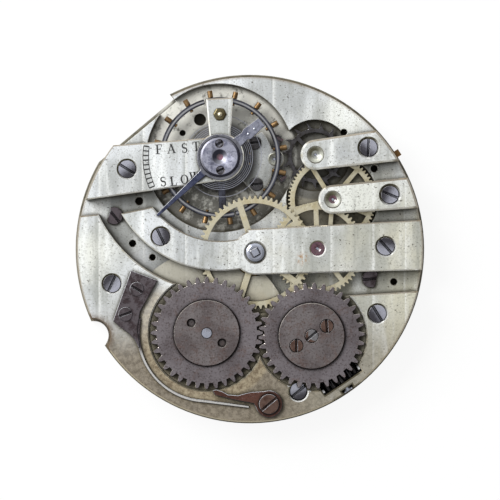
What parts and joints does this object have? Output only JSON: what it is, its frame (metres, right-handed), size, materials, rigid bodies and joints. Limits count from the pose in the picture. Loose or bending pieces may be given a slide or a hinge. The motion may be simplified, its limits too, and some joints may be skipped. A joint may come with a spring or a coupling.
{
  "type": "pocket watch movement",
  "caption": "Stem-wound bar-type lever pocket watch movement with a visible balance under a cock, going train under bars, and exposed ratchet and crown winding wheels.",
  "frame": {"origin": "middle of the case flange on the dial seat, dial side down", "axes": "+Z out of the bridge side; +X to the right and +Y up as the picture shows it"},
  "size_m": [0.043, 0.043, 0.0059],
  "materials": {
    "plate": "frosted silvered metal with fine grain and polished bevels",
    "steel": "dark polished steel",
    "rust_steel": "browned steel with bright edges",
    "blue_steel": "slate-blue polished steel",
    "brass": "pale brass",
    "gold": "copper-gold",
    "ruby": "polished ruby"
  },
  "bodies": {
    "frame": {"main_plate": "plate", "barrel_bridge": "plate", "centre_bridge": "plate", "fourth_wheel_bar": "plate", "escape_wheel_bar": "plate", "balance_cock": "plate", "pallet_bridge": "plate", "bridge_screws": "steel", "pallet_bridge_screws": "steel", "case_screws": "steel", "steady_pins": "brass", "train_jewels": "ruby", "balance_jewels": "ruby", "end_stones": "ruby", "balance_end_piece": "blue_steel", "end_piece_screws": "steel", "hairspring_stud": "brass", "hairspring": "steel", "banking_pins": "brass", "rim_pin": "brass", "crown_wheel_core": "rust_steel", "crown_core_screws": "rust_steel", "click_spring": "steel", "click_spring_screws": "steel", "click_screw": "rust_steel"},
    "barrel": {"barrel_drum": "brass", "barrel_cover": "brass", "mainspring": "steel"},
    "ratchet": {"barrel_arbor": "steel", "ratchet_wheel": "steel", "ratchet_cap": "steel"},
    "crown": {"crown_wheel": "steel"},
    "winding_pinion": {"winding_pinion": "steel"},
    "stem": {"winding_stem": "blue_steel"},
    "clutch": {"sliding_pinion": "steel"},
    "yoke": {"yoke": "steel"},
    "click": {"click": "rust_steel"},
    "centre": {"centre_wheel": "brass", "centre_arbor": "steel", "hand_arbor_head": "steel", "cannon_pinion": "steel"},
    "third": {"third_wheel": "brass", "third_arbor": "steel"},
    "fourth": {"fourth_wheel": "brass", "fourth_arbor": "steel"},
    "escape": {"escape_wheel": "gold", "escape_arbor": "steel"},
    "pallets": {"pallet_fork": "steel", "pallet_arbor": "steel", "pallet_stones": "ruby"},
    "balance": {"balance_wheel": "blue_steel", "balance_screws": "gold", "balance_staff": "steel", "roller": "steel", "impulse_jewel": "ruby", "hairspring_collet": "brass"},
    "regulator": {"regulator": "blue_steel"},
    "minute": {"minute_wheel": "brass"},
    "hour": {"hour_wheel": "brass"},
    "setting": {"setting_wheel": "steel"}
  },
  "joints": [
    {"name": "fourth_spin", "type": "hinge", "parent": "frame", "child": "fourth", "pos_m": [0.0101, 0.00605, 0.003], "axis": [0, 0, 1], "continuous": true},
    {"name": "escape_spin", "type": "hinge", "parent": "frame", "child": "escape", "pos_m": [0.008, 0.0115, 0.003], "axis": [0, 0, 1], "continuous": true},
    {"name": "third_spin", "type": "hinge", "parent": "frame", "child": "third", "pos_m": [0.00825, 0.00005, 0.003], "axis": [0, 0, 1], "continuous": true},
    {"name": "centre_spin", "type": "hinge", "parent": "frame", "child": "centre", "pos_m": [0.00065, -0.0004, 0.003], "axis": [0, 0, 1], "continuous": true},
    {"name": "barrel_spin", "type": "hinge", "parent": "frame", "child": "barrel", "pos_m": [-0.00525, -0.0102, 0.003], "axis": [0, 0, 1], "continuous": true},
    {"name": "minute_spin", "type": "hinge", "parent": "frame", "child": "minute", "pos_m": [0.00289, -0.00372, 0.0005], "axis": [0, 0, 1], "continuous": true},
    {"name": "hour_spin", "type": "hinge", "parent": "frame", "child": "hour", "pos_m": [0.00065, -0.0004, 0.0002], "axis": [0, 0, 1], "continuous": true},
    {"name": "setting_spin", "type": "hinge", "parent": "frame", "child": "setting", "pos_m": [0.00652, -0.0091, 0.0005], "axis": [0, 0, 1], "continuous": true},
    {"name": "ratchet_spin", "type": "hinge", "parent": "frame", "child": "ratchet", "pos_m": [-0.00525, -0.0102, 0.005], "axis": [0, 0, 1], "continuous": true},
    {"name": "crown_spin", "type": "hinge", "parent": "frame", "child": "crown", "pos_m": [0.0075, -0.01055, 0.005], "axis": [0, 0, 1], "continuous": true},
    {"name": "winding_pinion_spin", "type": "hinge", "parent": "frame", "child": "winding_pinion", "pos_m": [0.01105, -0.01582, 0.00257], "axis": [0.5594, -0.8289, 0], "continuous": true},
    {"name": "stem_spin", "type": "hinge", "parent": "frame", "child": "stem", "pos_m": [0.01016, -0.01449, 0.00257], "axis": [0.5594, -0.8289, 0], "continuous": true},
    {"name": "clutch_slide", "type": "slide", "parent": "stem", "child": "clutch", "axis": [-0.5594, 0.8289, 0], "range_m": [0, 0.0007]},
    {"name": "yoke_swing", "type": "hinge", "parent": "frame", "child": "yoke", "pos_m": [0.01411, -0.0114, 0.0006], "axis": [0, 0, 1], "range_deg": [-8.2, 0]},
    {"name": "click_swing", "type": "hinge", "parent": "frame", "child": "click", "pos_m": [0.00232, -0.01883, 0.0053], "axis": [0, 0, 1], "range_deg": [0, 5], "stiffness_Nm_per_rad": 0.0000015, "springref_deg": -2.86},
    {"name": "pallet_swing", "type": "hinge", "parent": "frame", "child": "pallets", "pos_m": [0.003, 0.01105, 0.002], "axis": [0, 0, 1], "range_deg": [-4, 4]},
    {"name": "balance_swing", "type": "hinge", "parent": "frame", "child": "balance", "pos_m": [-0.00365, 0.0112, 0.0032], "axis": [0, 0, 1], "range_deg": [-270, 270], "stiffness_Nm_per_rad": 0.0000026, "deforming": ["hairspring"]},
    {"name": "regulator_swing", "type": "hinge", "parent": "frame", "child": "regulator", "pos_m": [-0.00365, 0.0112, 0.0053], "axis": [0, 0, 1], "range_deg": [-52, 4]}
  ],
  "couplings": [
    {"joint": "escape_spin", "follows": "fourth_spin", "ratio": -10},
    {"joint": "third_spin", "follows": "fourth_spin", "ratio": -0.13333},
    {"joint": "centre_spin", "follows": "fourth_spin", "ratio": 0.016667},
    {"joint": "barrel_spin", "follows": "fourth_spin", "ratio": -0.0036458},
    {"joint": "minute_spin", "follows": "fourth_spin", "ratio": -0.0055556},
    {"joint": "hour_spin", "follows": "fourth_spin", "ratio": 0.0013889},
    {"joint": "setting_spin", "follows": "fourth_spin", "ratio": 0.0047619},
    {"joint": "crown_spin", "follows": "ratchet_spin", "ratio": -1.0588},
    {"joint": "winding_pinion_spin", "follows": "ratchet_spin", "ratio": 3},
    {"joint": "stem_spin", "follows": "ratchet_spin", "ratio": 3},
    {"joint": "yoke_swing", "follows": "clutch_slide", "rad_per_m": -200}
  ]
}
